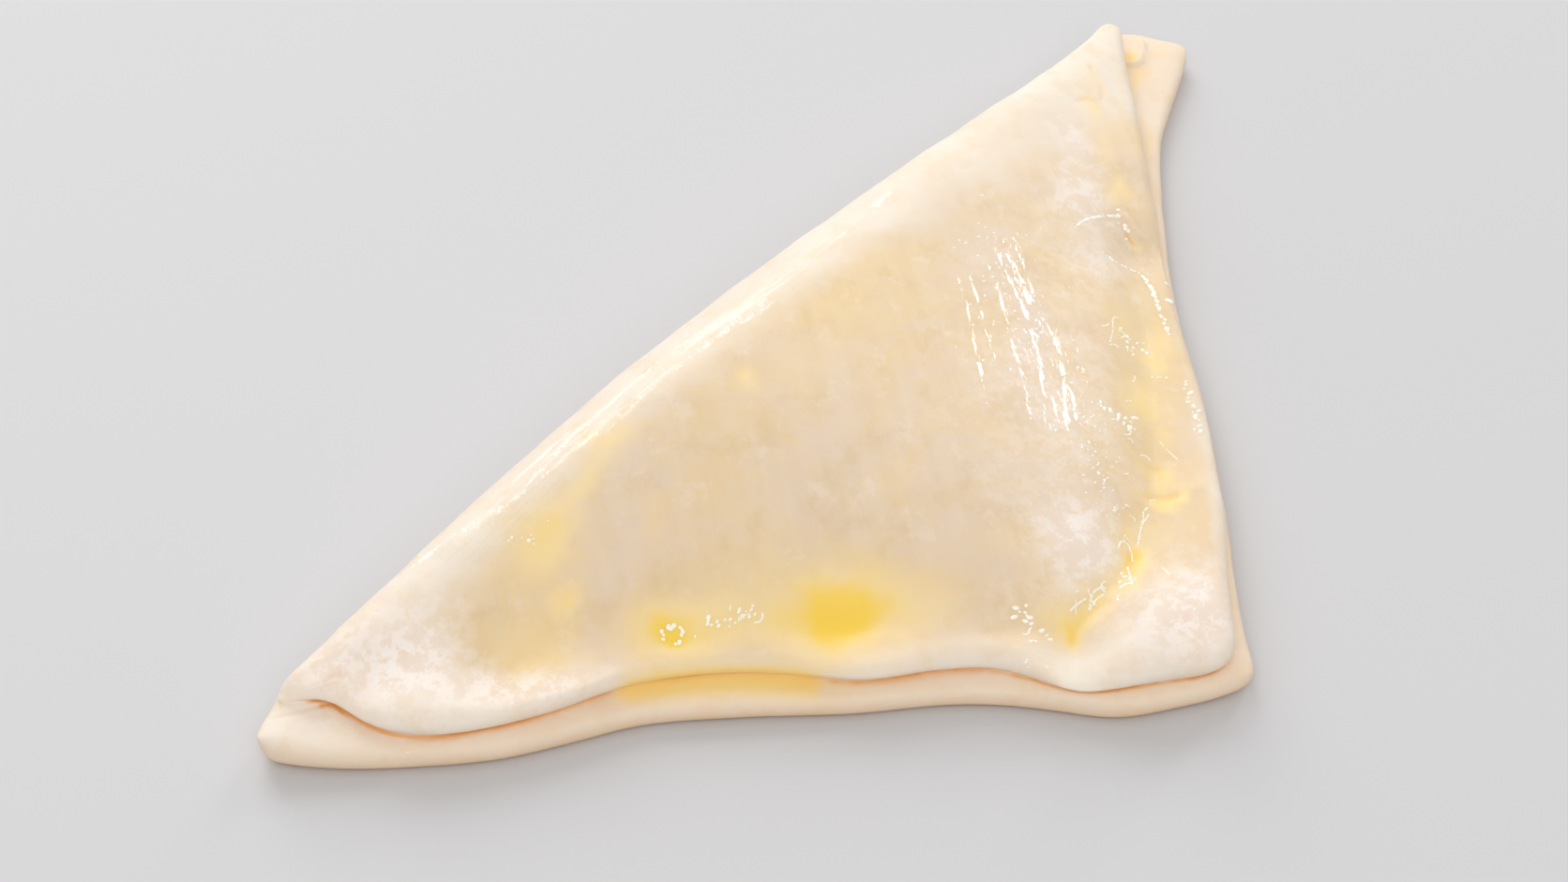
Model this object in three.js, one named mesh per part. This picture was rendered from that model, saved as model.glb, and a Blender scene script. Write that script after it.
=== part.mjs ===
import * as THREE from 'three';

// A raw turnover: one square of puff pastry folded corner to corner over its filling.
// Millimetres, +Z up. +X runs along the fold, -Y points to the square corner, and the
// origin is under the middle of the pastry, on the surface that it rests on.

// Plan: where the two cut edges and the fold would meet if the tips were sharp
const leftTip = new THREE.Vector2(-86, 13);
const squareCorner = new THREE.Vector2(4, -75.5);
const rightTip = new THREE.Vector2(98, 11);

// Edges of the two layers as [distance along the side, distance out from its straight line].
// The first entry of each side is the corner itself.
const foldWave = [
  [5, 4.8], [10, 4.1], [24, 3.4], [40, 3.4], [76, 3.8], [108, 4.4], [146, 4], [170, 4],
  [177.5, 3.6],
];
const lowerLayer = {
  left: [
    [-0.2, 1.2], [4, 2.5], [10, 3.4], [20, 3.7], [29, 3.4], [38, 1.6], [47, -0.5], [60, -0.7],
    [75, 0.1], [86, -0.3], [94, 0.5], [101, 2.2], [108, 4], [116, 3], [122, 1.7],
  ],
  right: [
    [0.6, -0.3], [6, -0.6], [30, -0.5], [46, -0.8], [60, -2], [74, -2.8], [90, -2.3],
    [104, -1], [113, 1.7], [120, 4], [123.6, 4.7], [125.8, 3.6],
  ],
  rightTip: [[-0.1, -1.4], [0.5, 1.9], [2.8, 4.2]],
  leftTip: [[182.2, 2.8]],
};
const upperLayer = {
  left: [
    [0.8, -3.4], [4, -4.4], [8, -3.8], [10, -1.6], [13.5, 1.1], [20, 2.5], [28, 1.5],
    [36, -0.1], [43, -2.8], [52, -4.6], [61, -4.4], [69, -3], [76, -1.6], [86, -2.5],
    [92, -2.3], [97, -0.6], [101, 1.7], [106, 2.8], [114, 2.3], [121, 1.5],
  ],
  right: [
    [-0.5, -3.3], [9, -2.5], [18, -1.9], [27, -1.4], [36, -1.3], [46, -1.8], [60, -3],
    [74, -3.9], [84, -3.9], [92, -4], [100, -4.3], [108, -4.6], [120, -5],
  ],
  rightTip: [[4, 3]],
  leftTip: [[180.6, 3.9]],
};

// Thickness and rounding of the dough
const rimHeight = 8.2; // two layers on each other
const layerThickness = 4.2; // lower layer, up to the seam
const tipThickness = 7.4; // lower layer where it is pinched up level with the upper one, at the left tip
const tipThicknessReach = 9;
const edgeRound = 2.4; // how far a cut edge's rounding reaches in
const lowerEdgeRound = 1.4;
const seamDepth = 1.9; // how far the seam runs in between the layers
const ledgeSlope = 0.12; // how much lower the bare rim of the lower layer is than the seam
const foldShoulder = 3; // how far in from the fold the top surface starts
const foldFoot = 3.6; // how far in from the fold the pastry meets its base
const baseInset = 7; // the flat base ends this far in from the edges

// Filling: a broad low dome, highest near the fold
const domeRise = 13.2;
const domeReachLeft = 44; // distance over which it rises from the left edge
const domeReachRight = 56;
const valleyInset = 8; // the filling stops this far in from the cut edges
const foldFullness = 4; // the filling runs nearer to the edges along the fold
const foldFullnessReach = 14;
const domeBlend = 0.45; // how softly the two slopes run into each other
const domeCrown = 1.7; // 1 is a straight slope, more is a flatter crown
const foldWiden = 0.42; // height of the fold's widest line, as a share of the whole
const foldRoundShare = 0.6; // depth of the fold's rounding, as a share of the height

// Puffs and dents of the top: centre, radius along X and Y, height (a dent is negative)
const lumps = [
  { name: 'cushion at the square corner', at: [2, -64], radius: [9, 7], rise: 2.4 },
  { name: 'rim puff at the left', at: [-71, -1], radius: [8, 6], rise: 1.2 },
  { name: 'rim puff below the right tip', at: [70, -6.5], radius: [8, 7], rise: 0.8 },
  { name: 'dent beside the left puff', at: [-60.5, -3.5], radius: [5.5, 4.5], rise: -1.8 },
  { name: 'dent where the egg wash gathers', at: [-42, -16.5], radius: [6, 5], rise: -1.0 },
  { name: 'dent under the egg wash pool', at: [-25.5, -31.5], radius: [8, 6], rise: -1.4 },
  { name: 'pinch in the left rim', at: [-11.5, -57.5], radius: [4, 4], rise: -3.2 },
  { name: 'dent in the right valley', at: [22, -46.5], radius: [5, 5], rise: -1.2 },
  { name: 'dent at the end of the right valley', at: [54, -19], radius: [6, 5], rise: -1.2 },
];

// Creases pressed into the top: the points they run through, half width and depth
const creases = [
  {
    name: 'left valley',
    through: [[-62, -2], [-44, -15], [-26, -31], [-14, -45]],
    width: 4.5,
    depth: 0.55,
  },
  {
    name: 'fold round the cushion',
    through: [[-11, -57], [-5, -56], [6, -53.5], [15, -50]],
    width: 2.8,
    depth: 1.4,
  },
  {
    name: 'right valley',
    through: [[12, -52], [23, -46], [38, -34], [55, -18.5]],
    width: 3.6,
    depth: 1.1,
  },
  {
    name: 'fold at the right tip',
    through: [[55, -18.5], [60, -8], [64, 2]],
    width: 3.5,
    depth: 0.8,
  },
];

// Mesh
const steps = 48; // along each side
const fadeSteps = 4; // steps over which a cut edge turns into the fold
const settlingRounds = 900; // until the net of the top surface lies evenly

// Rings round the rolled edge of the upper layer: degrees above the middle of its thickness,
// and how far in from the fold they lie there, as a share of foldShoulder
const upperEdge = [
  { degrees: 90, foldShare: 1 },
  { degrees: 52, foldShare: 0.62 },
  { degrees: 18, foldShare: 0.34 },
  { degrees: -20, foldShare: 0.13 },
  { degrees: -58, foldShare: 0.02 },
];
const ledgeShares = [0.4, 0.8]; // rings on the bare rim of the lower layer, from the seam out
const ledgeInset = 0.3; // where that rim ends
const lowerEdge = [35, 0, -40, -90]; // rings round the edge of the lower layer, in degrees

const leftLeg = side(leftTip, squareCorner);
const rightLeg = side(squareCorner, rightTip);
const foldSide = side(rightTip, leftTip);

function side(from, to) {
  const along = to.clone().sub(from).normalize();
  const out = new THREE.Vector2(along.y, -along.x);
  return { from, to, along, out, length: from.distanceTo(to) };
}

function moveIn(edge, distance) {
  const shift = edge.out.clone().multiplyScalar(-distance);
  return { ...edge, from: edge.from.clone().add(shift), to: edge.to.clone().add(shift) };
}

// where the straight lines of two sides cross
function meet(one, two) {
  const gap = two.from.clone().sub(one.from);
  const turn = one.along.x * two.along.y - one.along.y * two.along.x;
  const reach = (gap.x * two.along.y - gap.y * two.along.x) / turn;
  return one.from.clone().addScaledVector(one.along, reach);
}

function insideDistance(edge, x, y) {
  return (edge.from.x - x) * edge.out.x + (edge.from.y - y) * edge.out.y;
}

function smoothStep(value) {
  return THREE.MathUtils.smoothstep(value, 0, 1);
}

function mix(from, to, share) {
  return from + (to - from) * share;
}

// A closed outline of one layer, moved in from the cut edges and from the fold, as evenly
// spaced points: `steps` on each side, starting from the left tip.
function outline(layer, cutInset, foldInset) {
  const left = moveIn(leftLeg, cutInset);
  const right = moveIn(rightLeg, cutInset);
  const fold = moveIn(foldSide, foldInset);
  const corners = [meet(fold, left), meet(left, right), meet(right, fold)];
  const foldWaves = [...layer.rightTip, ...foldWave, ...layer.leftTip];
  const sides = [
    { ...left, start: corners[0], end: corners[1], waves: layer.left },
    { ...right, start: corners[1], end: corners[2], waves: layer.right },
    { ...fold, start: corners[2], end: corners[0], waves: foldWaves },
  ];
  const knots = [];
  const stations = [];
  for (const one of sides) {
    stations.push(knots.length);
    const scale = one.start.distanceTo(one.end) / one.length;
    for (const [distance, bulge] of one.waves) {
      const knot = one.start.clone();
      knot.addScaledVector(one.along, distance * scale);
      knot.addScaledVector(one.out, bulge);
      knots.push(new THREE.Vector3(knot.x, knot.y, 0));
    }
  }
  const curve = new THREE.CatmullRomCurve3(knots, true, 'centripetal');
  stations.push(knots.length);
  const points = [];
  for (let i = 0; i < sides.length; i += 1) {
    points.push(...evenPoints(curve, stations[i] / knots.length, stations[i + 1] / knots.length));
  }
  return points;
}

// `steps` points of equal spacing on the stretch of a curve between two parameters
function evenPoints(curve, from, to) {
  const fineSteps = 400;
  const fine = [];
  const lengths = [0];
  for (let i = 0; i <= fineSteps; i += 1) {
    fine.push(curve.getPoint(mix(from, to, i / fineSteps)));
    if (i > 0) {
      lengths.push(lengths[i - 1] + fine[i].distanceTo(fine[i - 1]));
    }
  }
  const points = [];
  let reached = 0;
  for (let i = 0; i < steps; i += 1) {
    const wanted = (lengths[fineSteps] * i) / steps;
    while (lengths[reached + 1] < wanted) {
      reached += 1;
    }
    const share = (wanted - lengths[reached]) / (lengths[reached + 1] - lengths[reached]);
    const point = fine[reached].clone().lerp(fine[reached + 1], share);
    points.push(new THREE.Vector2(point.x, point.y));
  }
  return points;
}

// 0 on the cut edges, 1 along the fold
function foldness(index) {
  const past = index - 2 * steps - 1;
  const left = 3 * steps - index;
  return smoothStep(past / fadeSteps) * smoothStep(left / fadeSteps);
}

// how far the fold bulges out from its straight line at x
function foldLine(x) {
  const distance = rightTip.x - x;
  let after = foldWave.findIndex(([at]) => at > distance);
  if (after === -1) {
    after = foldWave.length - 1;
  }
  after = Math.max(after, 1);
  const [fromAt, fromOut] = foldWave[after - 1];
  const [toAt, toOut] = foldWave[after];
  const share = THREE.MathUtils.clamp((distance - fromAt) / (toAt - fromAt), 0, 1);
  return mix(fromOut, toOut, share);
}

// a rise from 0 to 1 that levels off at the top
function pillow(share) {
  return 1 - (1 - THREE.MathUtils.clamp(share, 0, 1)) ** domeCrown;
}

function softMinimum(one, two, blend) {
  const share = THREE.MathUtils.clamp(0.5 + (0.5 * (two - one)) / blend, 0, 1);
  return mix(two, one, share) - blend * share * (1 - share);
}

function distanceToCrease(crease, x, y) {
  let nearest = Infinity;
  for (let i = 1; i < crease.through.length; i += 1) {
    const [startX, startY] = crease.through[i - 1];
    const [endX, endY] = crease.through[i];
    const runX = endX - startX;
    const runY = endY - startY;
    const reach = ((x - startX) * runX + (y - startY) * runY) / (runX * runX + runY * runY);
    const share = THREE.MathUtils.clamp(reach, 0, 1);
    nearest = Math.min(nearest, Math.hypot(x - startX - share * runX, y - startY - share * runY));
  }
  return nearest;
}

// height of the filled dough without the rounding at the fold
function fullHeight(x, y) {
  const fromFold = insideDistance(foldSide, x, y) + foldLine(x);
  const fullness = foldFullness * Math.exp(-fromFold / foldFullnessReach) - valleyInset;
  const left = (insideDistance(leftLeg, x, y) + fullness) / domeReachLeft;
  const right = (insideDistance(rightLeg, x, y) + fullness) / domeReachRight;
  let height = rimHeight + domeRise * pillow(softMinimum(left, right, domeBlend));
  for (const lump of lumps) {
    const away = Math.hypot((x - lump.at[0]) / lump.radius[0], (y - lump.at[1]) / lump.radius[1]);
    height += lump.rise * Math.exp(-away * away);
  }
  for (const crease of creases) {
    const away = distanceToCrease(crease, x, y) / crease.width;
    height -= crease.depth * Math.exp(-away * away);
  }
  return height;
}

// share of the height above the widest line that is reached at a distance from the fold
function foldRise(fromFold, height) {
  const inward = THREE.MathUtils.clamp(fromFold / (foldRoundShare * height), 0, 1);
  return Math.sqrt(1 - (1 - inward) ** 2);
}

function topHeight(x, y) {
  const full = fullHeight(x, y);
  const fromFold = insideDistance(foldSide, x, y) + foldLine(x);
  return full * mix(foldWiden, 1, foldRise(fromFold, full));
}

// Rings from the top surface down to the base. Each has its place in plan (how far in from
// the upper or the lower layer's edge, and from the fold) and its height on either side.
function edgeRings() {
  const rings = upperEdge.map(({ degrees, foldShare }) => {
    const angle = THREE.MathUtils.degToRad(degrees);
    return {
      upperShare: 1,
      cutInset: edgeRound * (1 - Math.cos(angle)),
      foldInset: foldShoulder * foldShare,
      cutHeight: (top, seam) => mix(seam, top, 0.5 + 0.5 * Math.sin(angle)),
    };
  });
  const firstBelow = rings.length;
  rings.push({ upperShare: 1, cutInset: seamDepth, foldInset: 0, cutHeight: (top, seam) => seam });
  for (const share of ledgeShares) {
    rings.push({
      upperShare: 1 - share,
      cutInset: mix(seamDepth, ledgeInset, share),
      foldInset: 0,
      cutHeight: (top, seam) => seam * (1 - ledgeSlope * share * share),
    });
  }
  for (const degrees of lowerEdge) {
    const angle = THREE.MathUtils.degToRad(degrees);
    rings.push({
      upperShare: 0,
      cutInset: lowerEdgeRound * (1 - Math.cos(angle)),
      foldInset: 0,
      cutHeight: (top, seam) => 0.5 * seam * (1 + Math.sin(angle)),
    });
  }
  // along the fold the same rings tuck under, down to the base
  for (let i = firstBelow; i < rings.length; i += 1) {
    const angle = (Math.PI / 2) * ((i - firstBelow) / (rings.length - 1 - firstBelow));
    rings[i].foldTuck = foldFoot * (1 - Math.cos(angle));
    rings[i].foldHeight = 1 - Math.sin(angle);
  }
  return rings;
}

function seamHeight(point) {
  const fromTip = point.distanceTo(leftTip) / tipThicknessReach;
  return mix(layerThickness, tipThickness, Math.exp(-fromTip * fromTip));
}

// where the outline's points lie in the net: its rows count towards the left tip, and its
// columns towards the right tip
function borderRow(index) {
  return Math.max(steps - index, index - 2 * steps, 0);
}

function borderColumn(index) {
  return Math.max(0, Math.min(index - steps, 3 * steps - index));
}

// A triangular net inside an outline. Each inner point settles midway between its neighbours.
function settledNet(border) {
  const net = [];
  for (let row = 0; row <= steps; row += 1) {
    net.push([]);
    for (let column = 0; column + row <= steps; column += 1) {
      const place = border[0].clone().multiplyScalar(row / steps);
      place.addScaledVector(border[2 * steps], column / steps);
      place.addScaledVector(border[steps], 1 - (row + column) / steps);
      net[row].push(place);
    }
  }
  border.forEach((point, i) => net[borderRow(i)][borderColumn(i)].copy(point));
  for (let round = 0; round < settlingRounds; round += 1) {
    for (let row = 1; row < steps; row += 1) {
      for (let column = 1; column + row < steps; column += 1) {
        const near = [
          net[row - 1][column], net[row + 1][column], net[row][column - 1],
          net[row][column + 1], net[row + 1][column - 1], net[row - 1][column + 1],
        ];
        net[row][column].set(0, 0);
        near.forEach((neighbour) => net[row][column].addScaledVector(neighbour, 1 / near.length));
      }
    }
  }
  return net;
}

function turnoverGeometry() {
  const positions = [];
  const triangles = [];
  const addPoint = (x, y, z) => positions.push(x, y, z) / 3 - 1;

  // top surface
  const border = outline(upperLayer, edgeRound, foldShoulder);
  const addTopPoint = ({ x, y }) => addPoint(x, y, topHeight(x, y));
  const net = settledNet(border).map((row) => row.map(addTopPoint));
  for (let row = 0; row < steps; row += 1) {
    for (let column = 0; column + row < steps; column += 1) {
      triangles.push(net[row][column], net[row][column + 1], net[row + 1][column]);
      if (column + row < steps - 1) {
        triangles.push(net[row][column + 1], net[row + 1][column + 1], net[row + 1][column]);
      }
    }
  }

  // the border of the net is the first ring
  let ring = border.map((point, i) => net[borderRow(i)][borderColumn(i)]);
  const tops = ring.map((index) => positions[3 * index + 2]);

  const joinRings = (inner, outer) => {
    for (let i = 0; i < inner.length; i += 1) {
      const next = (i + 1) % inner.length;
      triangles.push(inner[i], outer[i], inner[next], inner[next], outer[i], outer[next]);
    }
  };

  for (const step of edgeRings().slice(1)) {
    const upper = outline(upperLayer, step.cutInset, step.foldInset);
    const lower = outline(lowerLayer, step.cutInset, step.foldInset);
    const outer = upper.map((point, i) => {
      const place = point.clone().lerp(lower[i], 1 - step.upperShare);
      place.addScaledVector(foldSide.out, -(step.foldTuck ?? 0) * foldness(i));
      const full = fullHeight(border[i].x, border[i].y);
      const widest = foldWiden * full;
      const rise = foldRise(step.foldInset, full) / foldRise(foldShoulder, full);
      const onFold = step.foldHeight === undefined
        ? mix(widest, tops[i], rise)
        : widest * step.foldHeight;
      const onCut = step.cutHeight(tops[i], seamHeight(point));
      return addPoint(place.x, place.y, mix(onCut, onFold, foldness(i)));
    });
    joinRings(ring, outer);
    ring = outer;
  }

  // flat base
  const basePoints = outline(lowerLayer, baseInset, baseInset);
  const base = basePoints.map((point) => addPoint(point.x, point.y, 0));
  joinRings(ring, base);
  for (const [a, b, c] of THREE.ShapeUtils.triangulateShape(basePoints, [])) {
    triangles.push(base[a], base[c], base[b]);
  }

  const geometry = new THREE.BufferGeometry();
  geometry.setAttribute('position', new THREE.Float32BufferAttribute(positions, 3));
  geometry.setIndex(triangles);
  geometry.computeBoundingBox();
  const middle = geometry.boundingBox.getCenter(new THREE.Vector3());
  geometry.translate(-middle.x, -middle.y, -geometry.boundingBox.min.z);
  geometry.computeVertexNormals();
  return geometry;
}

const rawDough = new THREE.MeshStandardMaterial({ color: 0xf0dfc6, roughness: 0.45, metalness: 0 });
const pastry = new THREE.Mesh(turnoverGeometry(), rawDough);
pastry.name = 'pastry';

const turnover = new THREE.Group();
turnover.add(pastry);

export default turnover;
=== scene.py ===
import math
import random

import bmesh
import bpy
import numpy as np
from mathutils import Matrix, Vector, noise
from mathutils.bvhtree import BVHTree


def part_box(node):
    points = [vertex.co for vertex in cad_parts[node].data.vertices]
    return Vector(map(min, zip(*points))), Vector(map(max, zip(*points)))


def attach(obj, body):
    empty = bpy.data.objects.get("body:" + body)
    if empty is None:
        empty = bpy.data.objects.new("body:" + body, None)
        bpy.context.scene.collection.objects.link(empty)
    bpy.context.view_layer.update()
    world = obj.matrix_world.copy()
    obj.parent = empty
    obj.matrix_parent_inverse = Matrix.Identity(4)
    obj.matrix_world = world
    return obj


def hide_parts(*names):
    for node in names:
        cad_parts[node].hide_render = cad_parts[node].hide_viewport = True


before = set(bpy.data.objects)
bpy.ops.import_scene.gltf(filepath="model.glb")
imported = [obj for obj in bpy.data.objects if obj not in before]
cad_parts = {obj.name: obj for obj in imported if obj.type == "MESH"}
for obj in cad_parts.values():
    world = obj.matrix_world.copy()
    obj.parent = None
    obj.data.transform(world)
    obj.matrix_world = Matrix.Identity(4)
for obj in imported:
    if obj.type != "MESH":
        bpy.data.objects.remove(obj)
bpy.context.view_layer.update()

# A raw turnover of puff pastry, brushed with egg wash. +X runs along the fold, -Y points to
# the square corner, +Z is up. Relief is worked out in millimetres and stored in metres.

mm = 0.001
pastryLow, pastryHigh = [np.array(corner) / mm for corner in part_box("pastry")]

# the three corners of the folded square, in plan
leftCorner = np.array([pastryLow[0] + 1.0, pastryHigh[1] - 3.9])
squareCorner = np.array([-2.0, pastryLow[1] - 0.6])
rightCorner = np.array([pastryHigh[0] - 1.0, pastryHigh[1] - 5.9])


# screen values of red, green and blue, 0 to 255, as the linear values that a shader takes
def colour(channels):
    screen = [channel / 255 for channel in channels]
    return [c / 12.92 if c <= 0.04045 else ((c + 0.055) / 1.055) ** 2.4 for c in screen] + [1.0]


def ease(value, start, end):
    share = np.clip((value - start) / (end - start), 0, 1)
    return share * share * (3 - 2 * share)


# a soft round or oval spot: 1 in its middle, falling off over its radius
def hill(points, spot):
    offset = points[:, :2] - np.array(spot["at"])
    angle = math.radians(spot["turn"])
    along = offset[:, 0] * math.cos(angle) + offset[:, 1] * math.sin(angle)
    across = offset[:, 1] * math.cos(angle) - offset[:, 0] * math.sin(angle)
    return np.exp(-(along / spot["radius"][0]) ** 2 - (across / spot["radius"][1]) ** 2)


# soft spots laid over one another, each with its own strength
def patched(points, spots):
    total = np.zeros(len(points))
    for spot in spots:
        total += spot["amount"] * hill(points, spot)
    return total


# distance in from the straight line between two corners
def insideOf(points, start, end):
    run = (end - start) / np.linalg.norm(end - start)
    return (start[0] - points[:, 0]) * run[1] - (start[1] - points[:, 1]) * run[0]


# distance to a path, and how far along it the nearest place lies, from 0 to 1
def alongPath(points, path):
    path = np.array(path, float)
    size = path.shape[1]  # 2 for a path in plan, 3 for one in space
    steps = np.linalg.norm(np.diff(path, axis=0), axis=1)
    before = np.concatenate([[0], np.cumsum(steps)])
    nearest = np.full(len(points), np.inf)
    station = np.zeros(len(points))
    for i, step in enumerate(steps):
        run = path[i + 1] - path[i]
        offset = points[:, :size] - path[i]
        share = np.clip(offset @ run / step ** 2, 0, 1)
        away = np.linalg.norm(offset - share[:, None] * run, axis=1)
        closer = away < nearest
        nearest[closer] = away[closer]
        station[closer] = (before[i] + share * step)[closer]
    return nearest, station / before[-1]


# a path with its corners cut, so that it bends evenly
def curved(path, rounds=2):
    path = np.array(path, float)
    for _ in range(rounds):
        first = 0.75 * path[:-1] + 0.25 * path[1:]
        second = 0.25 * path[:-1] + 0.75 * path[1:]
        inner = np.stack([first, second], 1).reshape(-1, path.shape[1])
        path = np.vstack([path[:1], inner[1:-1], path[-1:]])
    return path


# 1 along a path, fading out near both of its ends
def fadedEnds(station, start, end):
    return ease(station, start, end) * ease(1 - station, start, end)


# smooth noise between -1 and 1, the same on every run
def unevenness(points, wavelength, shift):
    places = points / wavelength + shift
    return np.array([noise.noise(Vector(place)) for place in places])


def linked(name, data):
    item = bpy.data.objects.new(name, data)
    bpy.context.scene.collection.objects.link(item)
    return item


# the points of a mesh, with its edges and normals, in millimetres
class Surface:

    def __init__(self, mesh):
        self.mesh = mesh
        count = len(mesh.vertices)
        flat = np.zeros(count * 3, np.float32)
        mesh.vertices.foreach_get("co", flat)
        self.points = flat.reshape(-1, 3).astype(float) / mm
        ends = np.zeros(len(mesh.edges) * 2, np.int32)
        mesh.edges.foreach_get("vertices", ends)
        self.ends = ends.reshape(-1, 2)
        self.degree = np.bincount(self.ends.ravel(), minlength=count)
        self.normals = self.readNormals()

    def readNormals(self):
        flat = np.zeros(len(self.points) * 3, np.float32)
        self.mesh.vertex_normals.foreach_get("vector", flat)
        return flat.reshape(-1, 3).astype(float)

    def store(self):
        self.mesh.vertices.foreach_set("co", (self.points * mm).astype(np.float32).ravel())
        self.mesh.update()
        self.normals = self.readNormals()

    def lift(self, height):
        self.points = self.points + self.normals * height[:, None]
        self.store()

    # mean of each point's neighbours
    def average(self, values):
        values = values.reshape(len(self.points), -1)
        total = np.zeros_like(values)
        one, two = self.ends.T
        for column in range(values.shape[1]):
            total[:, column] = np.bincount(one, values[two, column], len(values))
            total[:, column] += np.bincount(two, values[one, column], len(values))
        return total / self.degree[:, None]

    # moves each point halfway to the middle of its neighbours, or by its own share of that
    def relax(self, rounds, share=1.0):
        share = np.broadcast_to(share, len(self.points)).reshape(-1, 1)
        for _ in range(rounds):
            move = self.average(self.points) - self.points
            self.points += 0.5 * share * move
        self.store()

    def smoothed(self, values, rounds):
        for _ in range(rounds):
            values = 0.5 * values + 0.5 * self.average(values)
        return values

    # the same for one value to a point
    def soften(self, values, rounds):
        return self.smoothed(values[:, None], rounds)[:, 0]

    # how deep each point lies below the smoothed surface around it
    def hollow(self, rounds):
        smooth = self.smoothed(self.points, rounds)
        return np.einsum("ij,ij->i", smooth - self.points, self.normals)

    # brings the points of narrow gaps up to the smoothed surface around them
    def fill(self, rounds, share):
        smooth = self.smoothed(self.points, rounds)
        facing = self.smoothed(self.normals, 12)
        depth = np.einsum("ij,ij->i", smooth - self.points, facing)
        self.points += (share * ease(depth, 0.0, 0.3))[:, None] * (smooth - self.points)
        self.store()

    # share of the directions in front of each chosen point that meet dough within reach
    def enclosed(self, chosen, reach):
        faces = [polygon.vertices[:] for polygon in self.mesh.polygons]
        tree = BVHTree.FromPolygons([Vector(point) for point in self.points], faces)
        count = 32
        heights = 1 - (np.arange(count) + 0.5) * 2 / count
        turns = np.arange(count) * math.pi * (3 - math.sqrt(5))
        rings = np.sqrt(1 - heights ** 2)
        rays = np.stack([rings * np.cos(turns), rings * np.sin(turns), heights], 1)
        clearance = 0.02
        grazing = 0.1  # rays flatter than this to the surface are left out
        shares = np.zeros(len(self.points))
        for i in np.flatnonzero(chosen):
            facing = rays @ self.normals[i]
            start = Vector(self.points[i] + clearance * self.normals[i])
            met = 0.0
            for j in np.flatnonzero(facing > grazing):
                if tree.ray_cast(start, Vector(rays[j]), reach)[0] is not None:
                    met += facing[j]
            shares[i] = met / facing[facing > grazing].sum()
        return shares

    def mark(self, name, values):
        attribute = self.mesh.attributes.new(name, "FLOAT", "POINT")
        attribute.data.foreach_set("value", values.astype(np.float32))


# a material's nodes, with short calls for the usual ones
class Recipe:

    def __init__(self, name):
        self.material = bpy.data.materials.new(name)
        self.material.use_nodes = True
        self.tree = self.material.node_tree
        self.shader = self.tree.nodes["Principled BSDF"]
        self.place = self.add("ShaderNodeTexCoord").outputs["Object"]

    def add(self, kind, **inputs):
        node = self.tree.nodes.new(kind)
        for name, value in inputs.items():
            self.feed(node.inputs[name], value)
        return node

    def feed(self, socket, value):
        if isinstance(value, bpy.types.NodeSocket):
            self.tree.links.new(value, socket)
        else:
            socket.default_value = value

    # gives the shader its inputs by name
    def shade(self, inputs):
        for name, value in inputs.items():
            self.feed(self.shader.inputs[name], value)

    def attribute(self, name):
        node = self.add("ShaderNodeAttribute")
        node.attribute_name = name
        return node.outputs["Fac"]

    def calculate(self, operation, first, second=0.0, third=0.0):
        node = self.add("ShaderNodeMath")
        node.operation = operation
        for socket, value in zip(node.inputs, (first, second, third)):
            self.feed(socket, value)
        return node.outputs[0]

    def spread(self, value, start, end, toStart=0.0, toEnd=1.0):
        node = self.add("ShaderNodeMapRange")
        node.interpolation_type = "SMOOTHSTEP"
        for socket, number in zip(node.inputs, (value, start, end, toStart, toEnd)):
            self.feed(socket, number)
        return node.outputs["Result"]

    # object coordinates seen along a turned grain: sizes are the cells' lengths in metres
    def grained(self, turn, sizes):
        node = self.add("ShaderNodeMapping")
        node.vector_type = "TEXTURE"
        node.inputs["Rotation"].default_value = [0, 0, math.radians(turn)]
        node.inputs["Scale"].default_value = sizes
        self.feed(node.inputs["Vector"], self.place)
        return node.outputs["Vector"]

    def cloud(self, scale, detail=2.0, roughness=0.5, place=None, warp=0.0):
        node = self.add("ShaderNodeTexNoise", Vector=self.place if place is None else place)
        node.inputs["Scale"].default_value = scale
        node.inputs["Detail"].default_value = detail
        node.inputs["Roughness"].default_value = roughness
        node.inputs["Distortion"].default_value = warp
        return node.outputs["Fac"]

    def blend(self, share, first, second):
        node = self.add("ShaderNodeMix")
        node.data_type = "RGBA"
        self.feed(node.inputs["Factor"], share)
        self.feed(node.inputs[6], first)  # sockets 6 and 7 are the two colours
        self.feed(node.inputs[7], second)
        return node.outputs[2]

    def relief(self, height, distance, strength, normal=None):
        node = self.add("ShaderNodeBump", Height=height)
        node.inputs["Distance"].default_value = distance
        node.inputs["Strength"].default_value = strength
        if normal is not None:
            self.feed(node.inputs["Normal"], normal)
        return node.outputs["Normal"]


dough = {
    "quadAngles": (50.0, 60.0),  # faces join into one up to this bend and this skew
    "subdivisions": 2,
    "relaxing": 5,
    "refining": {"hollow": (0.14, 0.10), "margin": 0.9, "seam": (3.0, 6.5), "reach": 1.6},
    "waviness": [(15.0, 0.22), (6.0, 0.12), (2.6, 0.045)],  # wavelength and height
    "seamInset": (6.0, 9.0),  # the rim reaches this far in from the cut edges
    "seamFilling": 0.65,
    "seamDepth": 0.20,
    "closedTip": (82.8, 86.0),  # from here to the left tip the layers are pressed together
    "closingRounds": 5,
}

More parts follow.
